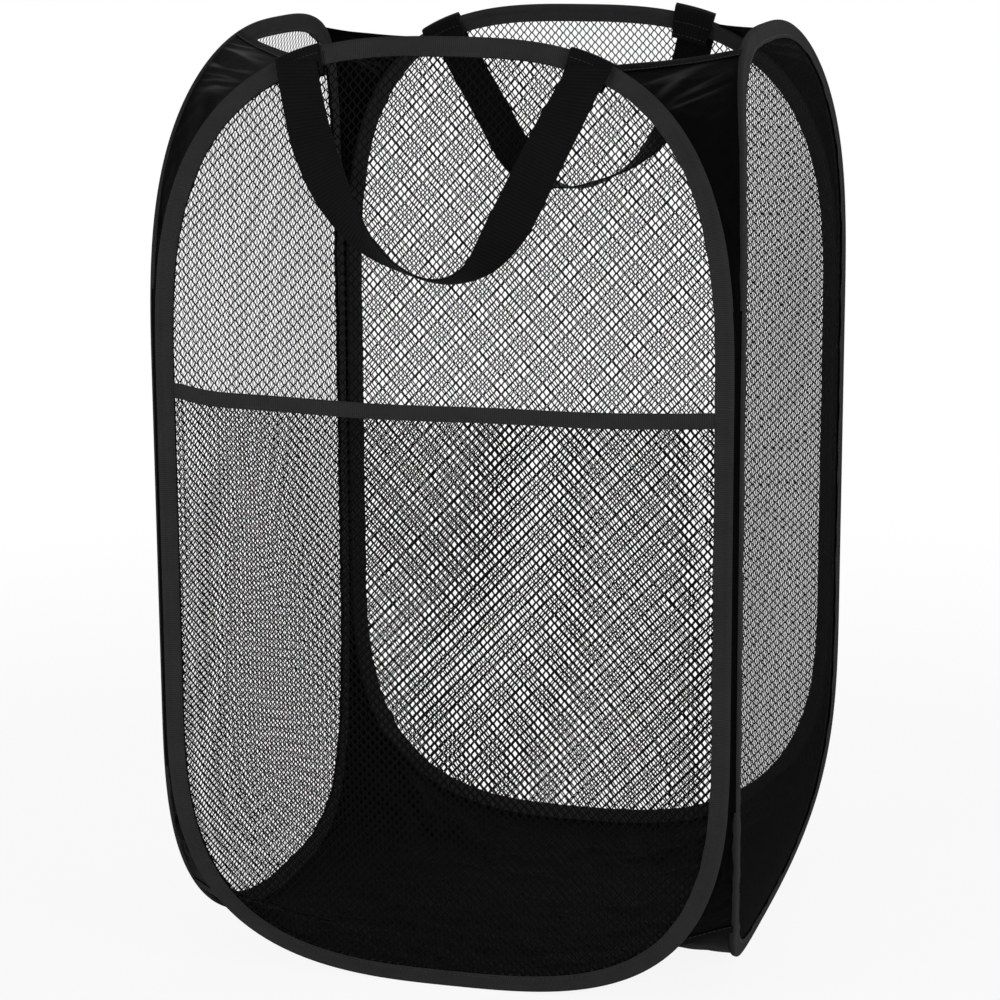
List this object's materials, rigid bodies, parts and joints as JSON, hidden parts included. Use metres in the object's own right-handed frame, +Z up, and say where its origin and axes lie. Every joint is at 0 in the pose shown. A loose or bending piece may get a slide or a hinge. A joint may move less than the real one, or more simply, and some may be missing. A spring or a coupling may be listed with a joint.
{
  "type": "pop-up laundry hamper",
  "caption": "Upright square pop-up hamper: netted panels in bound spring wire loops, cloth corner gussets and floor, a front net pocket and webbing handles.",
  "frame": {"origin": "middle of the hamper's plan, on the ground under its floor", "axes": "+Z up; the panel with the pocket faces -Y; +X is to the right of someone facing the pocket"},
  "size_m": [0.356, 0.4089, 0.5706],
  "materials": {
    "tape_cloth": "charcoal woven polyester binding tape, slight sheen",
    "net_yarn": "black knitted polyester net",
    "body_cloth": "black woven nylon taffeta, low sheen",
    "webbing": "black plain woven polypropylene webbing",
    "spring_steel": "hard drawn spring steel wire",
    "sleeve_steel": "zinc plated crimp sleeve"
  },
  "bodies": {
    "front_panel": {"wire_loop_front": "spring_steel", "crimp_sleeve_front": "sleeve_steel", "binding_front": "tape_cloth", "net_front": "net_yarn", "strap_end_front_left": "webbing", "strap_end_front_right": "webbing", "pocket_net": "net_yarn", "pocket_strip": "tape_cloth", "floor_cloth": "body_cloth", "top_gusset_front_left": "body_cloth", "foot_gusset_front_left": "body_cloth", "top_gusset_front_right": "body_cloth", "foot_gusset_front_right": "body_cloth"},
    "left_panel": {"wire_loop_left": "spring_steel", "crimp_sleeve_left": "sleeve_steel", "binding_left": "tape_cloth", "net_left": "net_yarn"},
    "back_panel": {"wire_loop_back": "spring_steel", "crimp_sleeve_back": "sleeve_steel", "binding_back": "tape_cloth", "net_back": "net_yarn", "strap_end_back_left": "webbing", "strap_end_back_right": "webbing", "top_gusset_back_left": "body_cloth", "foot_gusset_back_left": "body_cloth"},
    "right_panel": {"wire_loop_right": "spring_steel", "crimp_sleeve_right": "sleeve_steel", "binding_right": "tape_cloth", "net_right": "net_yarn", "top_gusset_back_right": "body_cloth", "foot_gusset_back_right": "body_cloth"},
    "front_handle": {"handle_front": "webbing"},
    "back_handle": {"handle_back": "webbing"}
  },
  "joints": [
    {"name": "rack", "type": "hinge", "parent": "front_panel", "child": "left_panel", "pos_m": [-0.1735, -0.1735, 0], "axis": [0, 0, -1], "range_deg": [-55, 55], "stiffness_Nm_per_rad": 0.05, "deforming": ["top_gusset_front_left", "foot_gusset_front_left", "floor_cloth"]},
    {"name": "rack_back", "type": "hinge", "parent": "left_panel", "child": "back_panel", "pos_m": [-0.1735, 0.1735, 0], "axis": [0, 0, -1], "range_deg": [-55, 55], "deforming": ["top_gusset_back_left", "foot_gusset_back_left"]},
    {"name": "rack_right", "type": "hinge", "parent": "front_panel", "child": "right_panel", "pos_m": [0.1735, -0.1735, 0], "axis": [0, 0, -1], "range_deg": [-55, 55], "deforming": ["top_gusset_front_right", "foot_gusset_front_right", "top_gusset_back_right", "foot_gusset_back_right"]},
    {"name": "front_handle_lift", "type": "hinge", "parent": "front_panel", "child": "front_handle", "pos_m": [0, -0.16374, 0.55614], "axis": [-1, 0, 0], "range_deg": [0, 180]},
    {"name": "back_handle_lift", "type": "hinge", "parent": "back_panel", "child": "back_handle", "pos_m": [0, 0.16497, 0.5522], "axis": [1, 0, 0], "range_deg": [0, 180]}
  ],
  "couplings": [
    {"joint": "rack_back", "follows": "rack", "ratio": -1},
    {"joint": "rack_right", "follows": "rack", "ratio": 1}
  ]
}
